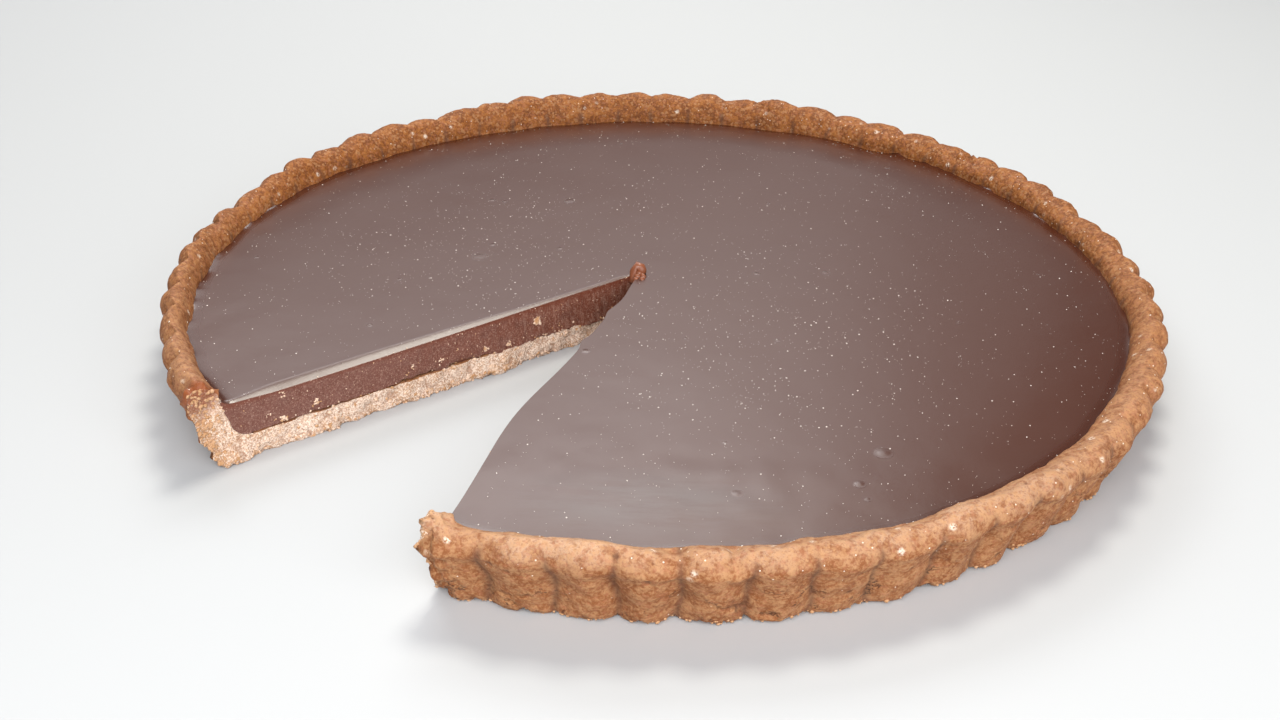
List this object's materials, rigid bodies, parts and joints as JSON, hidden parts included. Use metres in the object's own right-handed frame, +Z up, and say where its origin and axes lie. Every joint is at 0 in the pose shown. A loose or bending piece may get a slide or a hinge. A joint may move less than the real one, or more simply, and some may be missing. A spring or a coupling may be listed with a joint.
{
  "type": "chocolate tart",
  "caption": "Round chocolate tart: a fluted cocoa pastry case filled level with set ganache, with one slice cut out, resting flat on its base.",
  "frame": {"origin": "centre of the tart's box, in the plane the base rests on", "axes": "+Z up through the filling; the missing slice opens towards -X and -Y, between the bearings 218 and 252 degrees from +X"},
  "size_m": [0.2772, 0.2798, 0.0244],
  "materials": {
    "pastry": "baked cocoa shortcrust, dry and grainy",
    "ganache": "set chocolate ganache, smooth with a satin sheen"
  },
  "bodies": {
    "root": {"crust": "pastry", "filling": "ganache"}
  },
  "joints": []
}
